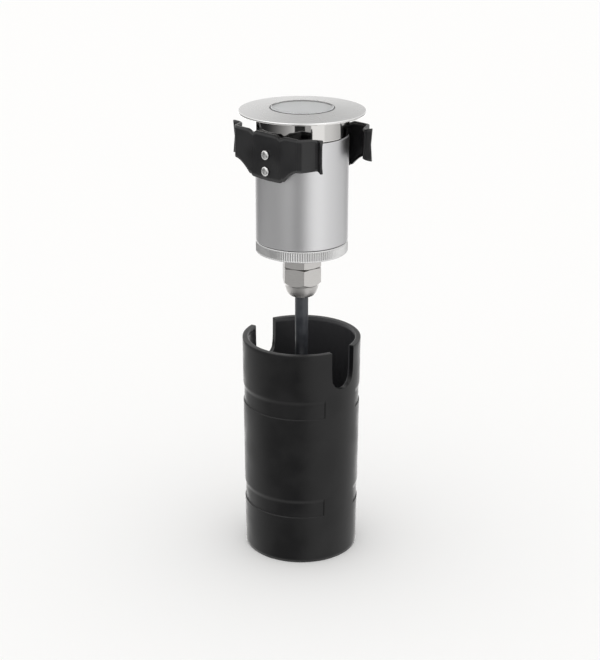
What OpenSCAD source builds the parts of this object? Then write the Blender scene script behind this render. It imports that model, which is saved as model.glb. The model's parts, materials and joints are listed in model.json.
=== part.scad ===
// In ground well light: a round stainless light head with two spring clips, held up on its
// slide above the black plastic mounting sleeve that it drops into.
// Z is up, and the middle of the sleeve's foot is the origin. A turn of 0 faces the front (-Y).

/* [Light head] */
// Diameter of the flange that covers the sleeve
flange_d = 70; // [66:0.5:90]
// Thickness of the flange at its rim
flange_t = 1.2; // [1:0.1:3]
// How much the top of the flange rises from the rim to the lens
flange_rise = 1.2; // [0:0.1:4]
// Diameter of the head below the flange
head_d = 51.7; // [50:0.1:52]
// Height of the polished collar under the flange
collar_h = 11.6; // [10:0.1:14]
// Length of the brushed body tube
tube_l = 60; // [58:0.5:90]
// Wall of the body tube at its upper bore
tube_wall = 2.5; // [2.3:0.1:3]
// Height of the dark joints above and below the tube
joint_gap = 0.4; // [0.2:0.1:0.8]
// How far the flange stands above the sleeve's rim at rest
rise = 130.3; // [100:0.1:160]

/* [Lens] */
// Diameter of the lens glass
lens_d = 34.6; // [30:0.1:37]
// Width of the bevel round the glass
lens_bevel = 0.6; // [0.3:0.1:2]
// How far the glass stands above the flange round it
lens_proud = 0.4; // [0:0.1:1]
// Thickness of the lens glass
lens_t = 5; // [3:0.5:5]
// Width of the dark seal around the glass
seal_t = 0.7; // [0.4:0.1:1]
// Thickness of the seal's foot under the glass
seal_foot_t = 0.6; // [0.4:0.1:1]
// Width of the ledge that carries the glass
ledge_w = 1.6; // [1.2:0.1:2.5]
// Thickness of that ledge
ledge_t = 1.2; // [0.8:0.1:2]

/* [End cap] */
// Height of the knurled edge
knurl_h = 6.4; // [5:0.1:8]
// Number of teeth on the knurled edge
knurl_teeth = 120; // [60:4:140]
// Depth of the knurl
knurl_depth = 0.4; // [0.2:0.05:0.6]
// Thickness of the end cap's floor
cap_floor_t = 5; // [4:0.5:6]
// Length of the cap's spigot inside the tube
cap_spigot_l = 8; // [5:0.5:10]

/* [Cable gland] */
// Width across the gland's flats
gland_af = 20.5; // [19:0.1:22]
// Height of the gland body's hexagon
gland_hex_h = 9; // [5:0.1:10]
// Height of the gland nut's hexagon
nut_hex_h = 10.8; // [9:0.1:13]
// Height of the gland nut's dome
dome_h = 7; // [5:0.1:9]
// Diameter of the dome where it leaves the flats
dome_d = 19.8; // [18:0.1:20.4]
// Diameter of the dome's mouth face
dome_mouth_d = 10.4; // [9.6:0.1:12]
// Diameter of the gland's screw thread
gland_thread_d = 16; // [16:0.5:17]
// Turn of the gland's corners
gland_turn = 37; // [0:1:60]

/* [Spring clips] */
// Turn of the front clip from the front
clip_turn = -45; // [-60:1:-30]
// Thickness of the coated spring strip
clip_t = 1.6; // [1:0.1:1.7]
// Reach of a wing's flexing line to each side of the clip's middle
flex_s = 10.4; // [9:0.1:11.2]
// Reach of a wing's outer bend
bend_s = 24.8; // [22:0.1:25]
// How far a wing's inner crease lies beyond its outer bend along the plate
crease_out = 4.8; // [3.5:0.1:6]
// How far the inner crease lies behind the clip's plate
crease_in = 9.3; // [6:0.1:10]
// How far the lip's end lies beyond the inner crease along the plate
lip_out = 4.4; // [4:0.1:7]
// How far the lip turns back out from the inner crease
lip_back = 2.2; // [1:0.1:2.5]
// Depth of the hollow between the two corners of a lip's end
tail_depth = 1.3; // [0:0.1:2]
// Radius of the bends
bend_r = 2.4; // [1.5:0.1:3]
// Top of the wings below the flange
wing_top = 7.2; // [6:0.1:9]
// Height of a wing at its outer bend
wing_h = 17.9; // [14:0.1:20]
// Height of the clip's middle
plate_h = 25.8; // [23:0.1:30]
// Half width of the lobe below the screws
lobe_s = 12; // [11.6:0.1:13]
// Depth of the notches beside the plate
notch_h = 1.4; // [1:0.1:3.5]
// Half width of the notches
notch_half = 2.4; // [1.5:0.1:3]

/* [Clip screws] */
// Diameter of the clip screws' thread
screw_d = 3; // [2.5:0.5:3]
// Diameter of the clip screws' heads
screw_head_d = 5.4; // [5:0.1:6]
// Height of the clip screws' heads
screw_head_h = 1.8; // [1.2:0.1:2]
// Distance between the two screws of a clip
screw_pitch = 9; // [7.5:0.5:10]
// Height of the lower screw above the clip's foot
screw_rise = 4.7; // [3.5:0.1:8]

/* [Mounting sleeve] */
// Height of the sleeve
sleeve_h = 130; // [120:1:150]
// Outer diameter at the rim
rim_d = 68; // [66.5:0.5:72]
// Outer diameter at the foot
foot_d = 66; // [64.5:0.5:70]
// Wall at the rim
rim_wall = 3.2; // [2:0.1:3.4]
// Wall at the foot
foot_wall = 3; // [2:0.1:3.4]
// Turn of the front slot from the front
slot_turn = 45; // [30:1:60]
// Width of the two slots in the rim
slot_w = 17.4; // [10:0.2:22]
// Depth of the slots
slot_h = 23.4; // [15:0.2:26]
// Depth of the shallow bands
band_depth = 0.55; // [0.2:0.05:0.9]
// Height of the bands
band_h = 11.4; // [6:0.1:16]
// Lower edge of the upper bands
upper_band_z = 90.8; // [80:0.1:96]
// Lower edge of the lower bands
lower_band_z = 29; // [20:0.1:50]
// Width of the plain wall between the bands, as a turn
pillar_turn = 43; // [30:1:60]

/* [Light source] */
// Thickness of the light source's board
board_t = 1.6; // [1:0.1:2]
// Width of the heat sink's rim around the board
sink_rim = 2.9; // [2:0.1:4]
// Diameter of the light-emitting disc
chip_d = 11; // [8:0.5:12]
// Height of the light-emitting disc
chip_t = 1.4; // [0.8:0.1:2]
// Wall of the reflector
reflector_t = 1; // [0.6:0.1:1.2]
// Share of the height between the board and the terminals that the heat sink takes
sink_share = 0.5; // [0.4:0.05:0.6]
// Gap between the driver's case and the tube's lower bore
driver_gap = 1.75; // [1:0.05:2.5]
// Wall of the driver's case
driver_wall = 1.2; // [0.8:0.1:2]
// Thickness of the driver's board
driver_board_t = 1.6; // [1:0.1:2]
// Length of the terminal block
terminal_l = 15; // [14:0.5:18]
// Width of the terminal block
terminal_w = 8; // [7:0.5:10]
// Height of the terminal block
terminal_h = 8; // [6:0.5:8.5]
// Height of the room that the leads spread in under the terminals
lead_room = 2.4; // [2:0.1:6]

/* [Cable] */
// Diameter of the cable
cable_d = 7.6; // [6.8:0.1:7.8]
// Diameter of an insulated core
core_d = 2.2; // [1.8:0.1:2.4]
// Diameter of the cores' end ferrules
ferrule_d = 1.6; // [1.2:0.1:2]
// Length of the cores' end ferrules
ferrule_l = 5; // [3:0.5:6]

/* [Hidden] */
$fn = 96;

// Clearances and small features
eps = 0.5;
fit = 0.1;
free_gap = 0.3;
edge = 0.3;
touch = 0.03;
ring_d = 1;
// An O-ring lies in the corner of two faces, and a bevel at 45 degrees clears it by the same touch
ring_seat = ring_d / 2 + touch;
deep_ring_bed = ring_seat * (2 + sqrt(2)) - fit;
ring_bed = deep_ring_bed - joint_gap;
fillet_sides = 8;

// Radii of the head
flange_r = flange_d / 2;
head_r = head_d / 2;
upper_bore_r = head_r - tube_wall;
shoulder_w = 0.6;
lower_bore_r = upper_bore_r - shoulder_w;
spigot_r = upper_bore_r - fit;
spigot_wall = 2.6;
spigot_in_r = spigot_r - spigot_wall;
lens_r = lens_d / 2;
rebate_r = lens_r + seal_t;
ledge_r = lens_r - ledge_w;

// Heights below the flange's underside, which is zero in the head's own frame
flange_top = flange_t + flange_rise;
glass_top = flange_top + lens_proud;
glass_foot = glass_top - lens_t;
ledge_top = glass_foot - seal_foot_t;
collar_foot = -collar_h;
tube_top = collar_foot - joint_gap;
tube_foot = tube_top - tube_l;
cap_top = tube_foot - joint_gap;
cap_foot = cap_top - knurl_h;
cap_floor = cap_foot + cap_floor_t;
spigot_l = 8.9;
spigot_foot = collar_foot - spigot_l;
board_drop = 1.2;
board_top = spigot_foot - board_drop;
board_foot = board_top - board_t;
sheath_rise = 3.5;
entry_top = cap_floor + sheath_rise;
terminal_foot = entry_top + 2 * core_d + lead_room;
driver_foot = terminal_foot + terminal_h;
sink_h = sink_share * (board_foot - driver_foot);
sink_foot = board_foot - sink_h;
hex_foot = cap_foot - gland_hex_h;
nut_gap = 0.3;
nut_top = hex_foot - nut_gap;
nut_shoulder = nut_top - nut_hex_h + nut_gap;
nut_foot = nut_shoulder - dome_h;
head_z = sleeve_h + rise;

// Gland
bore_gap = 0.6;
mouth_gap = 0.5;
nut_wall = 0.5;
pocket_wall = 1.3;
thread_r = gland_thread_d / 2;
gland_corner_r = gland_af / 2 / cos(30);
gland_bore_r = cable_d / 2 + bore_gap;
nut_thread_l = 8.5;
nut_thread_r = thread_r - nut_wall;
seal_pocket_r = nut_thread_r - pocket_wall;
seal_pocket_h = 4.5;
seal_h = 8;
mouth_r = cable_d / 2 + mouth_gap;
hex_chamfer = 1.2;
entry_depth = 1.3;

// Clip frame: s runs along the plate, n outward from the middle of the strip
clip_seat = 0.05;
strip_r = head_r + clip_seat + clip_t / 2;
flex_gap = 0.3;
plate_step = 0.1;
wing_foot = -wing_top - wing_h;
plate_top = -wing_top - plate_step;
plate_foot = plate_top - plate_h;
screw_low = plate_foot + screw_rise;
screw_hole_r = screw_d / 2;
blind_hole_l = 2;

// Sleeve
rim_r = rim_d / 2;
foot_r = foot_d / 2;
rim_bore_r = rim_r - rim_wall;
foot_bore_r = foot_r - foot_wall;
band_slope = 1.6;
rim_edge = 0.5;

// Points that the cable's lay follows, from inside the gland's mouth down to the sleeve's foot.
// They fit a bore of lay_bore_r and a mouth at lay_top, and are stretched to the chosen sizes
lay = [[0, 0, 156], [0, 0, 144], [0, 1.5, 132], [0, 6, 120.5], [0, 12.5, 109.5],
  [0, 19, 98.5], [-1, 23, 87], [-4, 24.5, 75], [-9.5, 23, 64.5], [-16.5, 18.5, 55],
  [-22, 10.5, 47], [-24.5, 0, 40], [-22, -11, 33.5], [-14, -20, 27], [-2.5, -24.5, 20.5],
  [9.5, -23, 14], [19.5, -16.5, 7.5]];
lay_bore_r = 30;
lay_top = 156;
lay_sheath_r = 3.8;
lay_steps = 4;
cable_sides = 10;
core_sides = 8;
core_ring_share = 0.62;
core_ring_r = core_d * core_ring_share;

steel = "#c9c9c7";
brushed = "#b4b5b6";
black = "#232427";

// Helpers
module at_head() { translate([0, 0, head_z]) children(); }

// Places a thing made in a clip's frame: X along the plate, -Y outward, Z up
module at_clip(turn) { at_head() rotate([0, 0, turn]) children(); }

module o_ring(hole_r, face, up) {
  rotate_extrude() translate([hole_r + ring_seat, face + up * ring_seat])
    circle(d = ring_d, $fn = 32);
}

module hexagon(height, top, corner_r, top_cut, foot_cut) {
  intersection() {
    translate([0, 0, top - height]) rotate([0, 0, gland_turn])
      cylinder(r = corner_r, h = height, $fn = 6);
    rotate_extrude() polygon([[0, top - height], [corner_r - foot_cut, top - height],
      [corner_r, top - height + foot_cut / 2], [corner_r, top - top_cut / 2],
      [corner_r - top_cut, top], [0, top]]);
  }
}

// Unit vector, and the ring of points that a tube has around one point of its route
function unit(v) = v / norm(v);
function heading(route, i) = unit(route[min(i + 1, len(route) - 1)] - route[max(i - 1, 0)]);
function side_of(ahead, last) = unit(last - ahead * (last * ahead));
// Smooth line that starts and ends at its first and last point and is drawn to the others
function drawn(p, i) = i < 0 ? 2 * p[0] - p[1] :
  i >= len(p) ? 2 * p[len(p) - 1] - p[len(p) - 2] : p[i];
function smooth_at(p, i, t) = (pow(1 - t, 3) * drawn(p, i - 1)
  + (3 * pow(t, 3) - 6 * pow(t, 2) + 4) * drawn(p, i)
  + (1 + 3 * t + 3 * pow(t, 2) - 3 * pow(t, 3)) * drawn(p, i + 1)
  + pow(t, 3) * drawn(p, i + 2)) / 6;
function smooth(p, steps) = concat([for (i = [0:len(p) - 2]) for (k = [0:steps - 1])
  smooth_at(p, i, k / steps)], [p[len(p) - 1]]);
function frames(route, i, last) = i == len(route) ? [] :
  let (ahead = heading(route, i), side = side_of(ahead, last))
  concat([[ahead, side]], frames(route, i + 1, side));
function ring(middle, frame, r, sides) = [for (k = [0:sides - 1])
  middle + r * (cos(360 * k / sides) * frame[1] + sin(360 * k / sides) * cross(frame[0], frame[1]))];

// A direction that no route here follows, so that it can turn a tube's first ring
start_side = [1, 0.01, 0.02];
module tube(route, d, sides) {
  turned = frames(route, 0, start_side);
  rings = [for (i = [0:len(route) - 1]) each ring(route[i], turned[i], d / 2, sides)];
  last = (len(route) - 1) * sides;
  walls = [for (i = [0:len(route) - 2]) for (k = [0:sides - 1]) let (n = (k + 1) % sides)
    [i * sides + k, (i + 1) * sides + k, (i + 1) * sides + n, i * sides + n]];
  start = [for (k = [0:sides - 1]) k];
  end = [for (k = [sides - 1:-1:0]) last + k];
  polyhedron(points = rings, faces = concat([start], walls, [end]), convexity = 8);
}

// Mounting sleeve
function wall_r(z) = foot_r + (rim_r - foot_r) * z / sleeve_h;
module band(foot, turn) {
  top = foot + band_h;
  clear_r = max(rim_r, foot_r) + 2 * eps;
  rotate([0, 0, turn]) rotate_extrude(angle = 180 - pillar_turn)
    polygon([[wall_r(foot) - band_depth, foot], [clear_r, foot],
      [clear_r, top + band_slope], [wall_r(top) + band_depth, top + band_slope],
      [wall_r(top - band_slope) - band_depth, top - band_slope]]);
}
module slot(turn) {
  rotate([0, 0, turn]) translate([0, -rim_bore_r + rim_wall, 0]) rotate([90, 0, 0])
    linear_extrude(3 * rim_wall) union() {
      translate([0, sleeve_h - slot_h + slot_w / 2]) circle(d = slot_w);
      translate([-slot_w / 2, sleeve_h - slot_h + slot_w / 2])
        square([slot_w, slot_h - slot_w / 2 + eps]);
    }
}
module sleeve() {
  color(black) difference() {
    rotate_extrude() polygon([[foot_bore_r, 0], [foot_r - rim_edge, 0], [foot_r, rim_edge],
      [rim_r, sleeve_h - rim_edge], [rim_r - rim_edge, sleeve_h],
      [rim_bore_r + rim_edge, sleeve_h], [rim_bore_r, sleeve_h - rim_edge]]);
    for (foot = [lower_band_z, upper_band_z], half = [0, 180])
      band(foot, slot_turn - 90 + pillar_turn / 2 + half);
    for (half = [0, 180]) slot(slot_turn + half);
  }
}

// Flange, polished collar and threaded spigot, turned from one bar
module flange_and_collar() {
  cone_rise = 2;
  cone_foot = collar_foot + cone_rise;
  color(steel) at_head() rotate_extrude() polygon([[rebate_r, flange_top],
    [flange_r - edge, flange_t], [flange_r, flange_t - edge], [flange_r, edge],
    [flange_r - edge, 0], [head_r, 0], [head_r, collar_foot + edge],
    [head_r - edge, collar_foot], [spigot_r, collar_foot], [spigot_r, spigot_foot],
    [spigot_in_r, spigot_foot], [spigot_in_r, cone_foot], [ledge_r, ledge_top - ledge_t],
    [ledge_r, ledge_top], [rebate_r, ledge_top]]);
}

module lens_glass() {
  color("#d5d8d9", 0.6) at_head() rotate_extrude()
    polygon([[0, glass_foot], [lens_r, glass_foot], [lens_r, glass_top - lens_bevel / 2],
      [lens_r - lens_bevel, glass_top], [0, glass_top]]);
}

module lens_seal() {
  color("#4a4b4d") at_head() rotate_extrude() polygon([[ledge_r, ledge_top],
    [rebate_r, ledge_top], [rebate_r, flange_top], [lens_r, glass_top - lens_bevel / 2],
    [lens_r, glass_foot], [ledge_r, glass_foot]]);
}

module collar_o_ring() { color(black) at_head() o_ring(spigot_r, collar_foot, -1); }
module cap_o_ring() { color(black) at_head() o_ring(lower_bore_r - fit, cap_top, 1); }
module gland_o_ring() { color(black) at_head() o_ring(thread_r - fit, cap_foot, 1); }

// Body tube with its upper bore, its shoulder and the clips' screw holes, which are blind
module body_tube() {
  bevel = 0.6;
  color(brushed) at_head() difference() {
    rotate_extrude() polygon([[head_r, tube_foot + edge], [head_r, tube_top - bevel],
      [head_r - bevel, tube_top], [upper_bore_r + ring_bed, tube_top],
      [upper_bore_r, tube_top - ring_bed], [upper_bore_r, sink_foot],
      [lower_bore_r, sink_foot], [lower_bore_r, tube_foot + ring_bed],
      [lower_bore_r + ring_bed, tube_foot], [head_r - edge, tube_foot]]);
    for (half = [0, 180], place = [0, 1])
      rotate([0, 0, clip_turn + half]) translate([0, 0, screw_low + place * screw_pitch])
        rotate([90, 0, 0]) translate([0, 0, head_r - blind_hole_l])
          cylinder(r = screw_hole_r, h = blind_hole_l + eps, $fn = 32);
  }
}

// Light source, its reflector and the heat sink that seats on the tube's shoulder
screw_inset = 4.5;
lead_inset = 3;
board_d = 2 * (spigot_r - sink_rim - free_gap);
board_screw_r = board_d / 2 - screw_inset;
lead_r = board_d / 2 - lead_inset;
throat_gap = 1.4;
throat_r = chip_d / 2 + throat_gap;
foot_share = 0.5;
foot_w = foot_share * (board_screw_r - screw_head_d / 2 - free_gap - throat_r);
module reflector() {
  foot_t = 1;
  top = ledge_top - ledge_t;
  color("#dcdcda") at_head() rotate_extrude() polygon([[throat_r, board_top],
    [throat_r + foot_w, board_top], [throat_r + foot_w, board_top + foot_t],
    [throat_r + reflector_t, board_top + foot_t], [ledge_r - free_gap, top - free_gap],
    [ledge_r - free_gap, ledge_top], [ledge_r - free_gap - reflector_t, ledge_top],
    [throat_r, board_top + foot_t]]);
}
module light_chip() {
  color("#e8d98a") at_head() translate([0, 0, board_top]) cylinder(d = chip_d, h = chip_t);
}
lead_hole_r = 1.5;
lead_d = 1.4;
module board_holes(foot, height) {
  for (half = [0, 180]) rotate([0, 0, half]) {
    translate([board_screw_r, 0, foot]) cylinder(r = screw_hole_r, h = height, $fn = 32);
    translate([0, lead_r, foot]) cylinder(r = lead_hole_r, h = height, $fn = 32);
  }
}
module light_board() {
  color("#e9e9e6") at_head() difference() {
    translate([0, 0, board_foot]) cylinder(d = board_d, h = board_t);
    board_holes(board_foot - eps, board_t + 2 * eps);
  }
}
module board_screws() {
  thread_l = 6;
  color(steel) at_head() for (half = [0, 180]) rotate([0, 0, half])
    translate([board_screw_r, 0, board_top]) {
      cylinder(d = screw_head_d, h = screw_head_h, $fn = 32);
      translate([0, 0, -board_t - thread_l])
        cylinder(r = screw_hole_r, h = board_t + thread_l, $fn = 32);
    }
}
module heat_sink() {
  grooves = 3;
  groove_h = sink_h / (2 * grooves + 2);
  groove_depth = 3;
  color("#a9abad") at_head() difference() {
    rotate_extrude() polygon([[0, sink_foot], [spigot_r, sink_foot], [spigot_r, spigot_foot],
      [spigot_r - sink_rim, spigot_foot], [spigot_r - sink_rim, board_foot], [0, board_foot]]);
    for (step = [1:grooves]) rotate_extrude()
      translate([spigot_r - groove_depth, sink_foot + step * 2 * groove_h - groove_h / 2])
        square([groove_depth + eps, groove_h]);
    board_holes(sink_foot - eps, sink_h + 2 * eps);
  }
}
module lamp_leads() {
  pad_r = (throat_r + foot_w + lead_r) / 2;
  color("#b23a2e") at_head() for (half = [0, 180]) rotate([0, 0, half])
    tube([[0, lead_r, sink_foot], [0, lead_r, board_foot], [0, lead_r, board_top + lead_d / 2],
      [0, lead_r - lead_d / 2, board_top + lead_d], [0, pad_r, board_top + lead_d]],
      lead_d, core_sides);
}

// Driver under the heat sink, with the terminals that the supply comes to
driver_r = lower_bore_r - driver_gap;
driver_ledge = 0.6;
module driver_case() {
  color("#e4e4e0") at_head() rotate_extrude() polygon([[0, sink_foot], [driver_r, sink_foot],
    [driver_r, driver_foot], [driver_r - driver_wall, driver_foot],
    [driver_r - driver_wall, driver_foot + driver_board_t],
    [driver_r - driver_wall - driver_ledge, driver_foot + driver_board_t],
    [driver_r - driver_wall - driver_ledge, sink_foot - driver_wall],
    [0, sink_foot - driver_wall]]);
}
module driver_board() {
  color("#2f6b46") at_head() translate([0, 0, driver_foot])
    cylinder(r = driver_r - driver_wall - fit / 2, h = driver_board_t);
}
module driver_parts() {
  board_face = driver_foot + driver_board_t;
  coil_shares = [0.29, 0.68];
  can_shares = [0.19, 0.83];
  chip_share = 0.43;
  inner_h = sink_foot - driver_wall - board_face;
  coil_r = driver_r * coil_shares[0];
  coil_h = inner_h * coil_shares[1];
  can_r = driver_r * can_shares[0];
  can_h = inner_h * can_shares[1];
  chip_w = driver_r * chip_share;
  color("#3c3a36") at_head() translate([0, 0, board_face]) {
    translate([-driver_r / 2, 0, 0]) difference() {
      cylinder(r = coil_r, h = coil_h, $fn = 48);
      translate([0, 0, coil_h / 2]) cylinder(r = coil_r / 3, h = coil_h, $fn = 32);
    }
    for (side = [-1, 1]) translate([driver_r / 4, side * driver_r / 2, 0])
      cylinder(r = can_r, h = can_h, $fn = 48);
    translate([driver_r / 3, -chip_w / 2, 0]) cube([chip_w, chip_w, board_t]);
  }
}
pole_share = 0.31;
pole_gap = terminal_l * pole_share;
module terminal_block() {
  color("#d9d9d4") at_head() difference() {
    translate([-terminal_l / 2, -terminal_w / 2, terminal_foot])
      cube([terminal_l, terminal_w, terminal_h]);
    for (pole = [-1:1]) translate([pole * pole_gap, 0, terminal_foot - eps])
      cylinder(r = core_d / 2 + fit, h = terminal_h / 2 + eps, $fn = 32);
  }
}

// The lug of the earth lead is screwed to the cap's floor, midway from the gland's thread to the
// inside of the cap's spigot, and its tongue reaches the thread
cap_spigot_r = lower_bore_r - fit;
cap_spigot_wall = 3.2;
earth_r = (thread_r + cap_spigot_r - cap_spigot_wall) / 2;
lug_d = 6.4;
lug_t = 0.8;
tongue_l = earth_r - thread_r;
module earth_lug() {
  color(steel) at_head() translate([0, earth_r, cap_floor]) difference() {
    union() {
      cylinder(d = lug_d, h = lug_t, $fn = 48);
      translate([-core_d / 2, -tongue_l, 0]) cube([core_d, tongue_l, lug_t]);
    }
    translate([0, 0, -eps]) cylinder(r = screw_hole_r, h = lug_t + 2 * eps, $fn = 32);
  }
}
earth_thread_l = 3;
module earth_screw() {
  color(steel) at_head() translate([0, earth_r, cap_floor + lug_t]) {
    cylinder(d = screw_head_d, h = screw_head_h, $fn = 32);
    translate([0, 0, -lug_t - earth_thread_l])
      cylinder(r = screw_hole_r, h = lug_t + earth_thread_l, $fn = 32);
  }
}
// A live and a neutral lead rise to the terminals, and the earth lead bends down to its lug
module supply_leads() {
  bend = entry_top + core_d;
  socket = terminal_foot + terminal_h / 3;
  lug_face = cap_floor + lug_t + core_d / 2 + touch;
  earth_end = earth_r - screw_head_d / 2 - 2 * free_gap;
  earth_start = 1.8 * core_ring_r;
  color("#7a5230") at_head() for (side = [-1, 1])
    tube([[side * core_ring_r, 0, entry_top], [side * core_ring_r, 0, bend],
      [side * pole_gap, 0, bend + core_d], [side * pole_gap, 0, socket]], core_d, core_sides);
  color("#8aa83a") at_head()
    tube([[0, earth_start, entry_top], [0, earth_start, bend - core_d / 2],
      [0, earth_r / 2, bend - core_d / 2], [0, earth_end - core_d, lug_face],
      [0, earth_end, lug_face]], core_d, core_sides);
}

// End cap: the knurled edge stands between two plain beads
function knurl_points() = [for (i = [0:2 * knurl_teeth - 1])
  let (a = 180 * i / knurl_teeth, r = i % 2 == 0 ? head_r : head_r - knurl_depth)
  [r * cos(a), r * sin(a)]];
module end_cap() {
  bead = 0.8;
  core_r = head_r - knurl_depth - fit;
  color("#bfbfbd") at_head() difference() {
    union() {
      translate([0, 0, cap_foot + bead]) linear_extrude(knurl_h - 1.5 * bead) difference() {
        polygon(knurl_points());
        circle(r = core_r - bead);
      }
      rotate_extrude() polygon([[0, cap_foot], [core_r - edge, cap_foot],
        [core_r, cap_foot + edge], [core_r, cap_top - edge / 2],
        [core_r - edge / 2, cap_top], [cap_spigot_r, cap_top],
        [cap_spigot_r, cap_top + cap_spigot_l],
        [cap_spigot_r - cap_spigot_wall, cap_top + cap_spigot_l],
        [cap_spigot_r - cap_spigot_wall, cap_floor], [0, cap_floor]]);
    }
    rotate_extrude() polygon([[0, cap_foot - eps], [thread_r + deep_ring_bed + eps, cap_foot - eps],
      [thread_r, cap_foot + deep_ring_bed], [thread_r, cap_floor + eps], [0, cap_floor + eps]]);
    translate([0, earth_r, cap_floor - earth_thread_l])
      cylinder(r = screw_hole_r, h = earth_thread_l + eps, $fn = 32);
  }
}

// Cable gland: body, rubber seal and dome nut
module gland_body() {
  thread_top = cap_floor + lug_t;
  male_foot = nut_top - nut_thread_l;
  color("#a9a69f") at_head() difference() {
    union() {
      hexagon(gland_hex_h, cap_foot, gland_corner_r, hex_chamfer / 2, hex_chamfer);
      translate([0, 0, cap_foot - eps])
        cylinder(r = thread_r - fit, h = thread_top - cap_foot + eps);
      translate([0, 0, male_foot]) cylinder(r = nut_thread_r, h = hex_foot - male_foot + eps);
    }
    translate([0, 0, male_foot - eps])
      cylinder(r = gland_bore_r, h = thread_top - male_foot + 2 * eps);
    translate([0, 0, male_foot - eps]) cylinder(r = seal_pocket_r, h = seal_pocket_h + eps);
  }
}
module gland_seal() {
  top = nut_top - nut_thread_l + seal_pocket_h;
  foot = top - seal_h;
  color("#2b2b2b") at_head() rotate_extrude() polygon([[cable_d / 2 + touch, foot],
    [mouth_r + fit, foot], [seal_pocket_r - touch, foot + seal_h / 4],
    [seal_pocket_r - touch, top], [cable_d / 2 + touch, top]]);
}
// The dome widens and rises by two powers of the step, and above it a chamfer cuts the flats
dome_steps = 8;
dome_width_share = 0.6;
dome_height_power = 2;
chamfer_turn = 45;
dome_points = [for (i = [0:dome_steps]) let (u = i / dome_steps)
  [(dome_mouth_d + (dome_d - dome_mouth_d) * pow(u, dome_width_share)) / 2,
    nut_foot + dome_h * pow(u, dome_height_power)]];
chamfer_top = nut_shoulder + (gland_corner_r - dome_d / 2) * tan(chamfer_turn);
module gland_nut() {
  seal_foot = nut_top - nut_thread_l + seal_pocket_h - seal_h;
  thread_foot = nut_top - nut_thread_l - touch;
  color("#a9a69f") at_head() difference() {
    intersection() {
      rotate([0, 0, gland_turn]) translate([0, 0, nut_foot])
        cylinder(r = gland_corner_r, h = nut_top - nut_foot, $fn = 6);
      rotate_extrude() polygon(concat([[0, nut_foot]], dome_points,
        [[gland_corner_r + fit, chamfer_top + fit * tan(chamfer_turn)],
        [gland_corner_r + fit, nut_top - (hex_chamfer + fit) / 2],
        [gland_corner_r - hex_chamfer, nut_top], [0, nut_top]]));
    }
    rotate_extrude() polygon([[0, nut_top + eps], [nut_thread_r + fit / 2, nut_top + eps],
      [nut_thread_r + fit / 2, thread_foot], [seal_pocket_r, thread_foot],
      [seal_pocket_r, seal_foot + seal_h / 4], [mouth_r + fit, seal_foot],
      [mouth_r, seal_foot - fit], [mouth_r, nut_foot - eps], [0, nut_foot - eps]]);
  }
}

// Sheathed end of the cable inside the gland, up to where its cores part
module cable_entry() {
  color("#3a3d42") at_head() translate([0, 0, nut_foot + entry_depth])
    cylinder(d = cable_d, h = entry_top - nut_foot - entry_depth);
}

// Spring clips, in their own frame: x is s, and y is -n
function arc_between(from, corner, to, r, steps) =
  let (u = unit(from - corner), w = unit(to - corner), half = acos(u * w) / 2,
    reach = r / tan(half), middle = corner + unit(u + w) * r / sin(half),
    a = corner + u * reach - middle, b = corner + w * reach - middle,
    whole = acos(unit(a) * unit(b)), sense = sign(a.x * b.y - a.y * b.x))
  [for (i = [0:steps]) let (t = sense * whole * i / steps)
    middle + [a.x * cos(t) - a.y * sin(t), a.x * sin(t) + a.y * cos(t)]];
// Middle line of a right tip: round the outer bend, along the flap, round the crease, to the lip
crease_s = bend_s + crease_out;
lip_s = crease_s + lip_out;
lip_in = crease_in - lip_back;
bend_corner = [bend_s, 0];
crease_corner = [crease_s, crease_in];
lip_corner = [lip_s, lip_in];
tip_line = concat(arc_between([flex_s, 0], bend_corner, crease_corner, bend_r, fillet_sides),
  arc_between(bend_corner, crease_corner, lip_corner, bend_r, fillet_sides), [lip_corner]);
wing_end = tip_line[0].x;
function across(line, i) = i == 0 ? [0, 1] :
  let (d = unit(line[min(i + 1, len(line) - 1)] - line[i - 1])) [-d.y, d.x];
function strip_outline(line, half) = concat(
  [for (i = [0:len(line) - 1]) line[i] + half * across(line, i)],
  [for (i = [len(line) - 1:-1:0]) line[i] - half * across(line, i)]);

// Side view of the clip's right half: the plate's lobe, the notch, the wing and its cove
cove = [for (i = [0:fillet_sides]) let (t = i / fillet_sides)
  [lobe_s + (bend_s - lobe_s) * t, plate_foot + (wing_foot - plate_foot) * sin(90 * t)]];
function half_outline() = concat([[0, plate_foot - clip_t / 3]], cove,
  [[crease_s, wing_foot + clip_t / 4], [lip_s + clip_t, wing_foot - edge],
   [lip_s - tail_depth, wing_foot + wing_h / 4], [lip_s - tail_depth, -wing_top - wing_h / 4],
   [lip_s + clip_t, edge - wing_top], [crease_s, -wing_top - clip_t / 4],
   [bend_s, -wing_top], [flex_s + 2 * notch_half, -wing_top - edge / 2],
   [flex_s + notch_half / 4, -wing_top - notch_h], [flex_s - notch_half / 4, -wing_top - notch_h],
   [flex_s - notch_half, plate_top], [0, plate_top]]);
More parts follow.
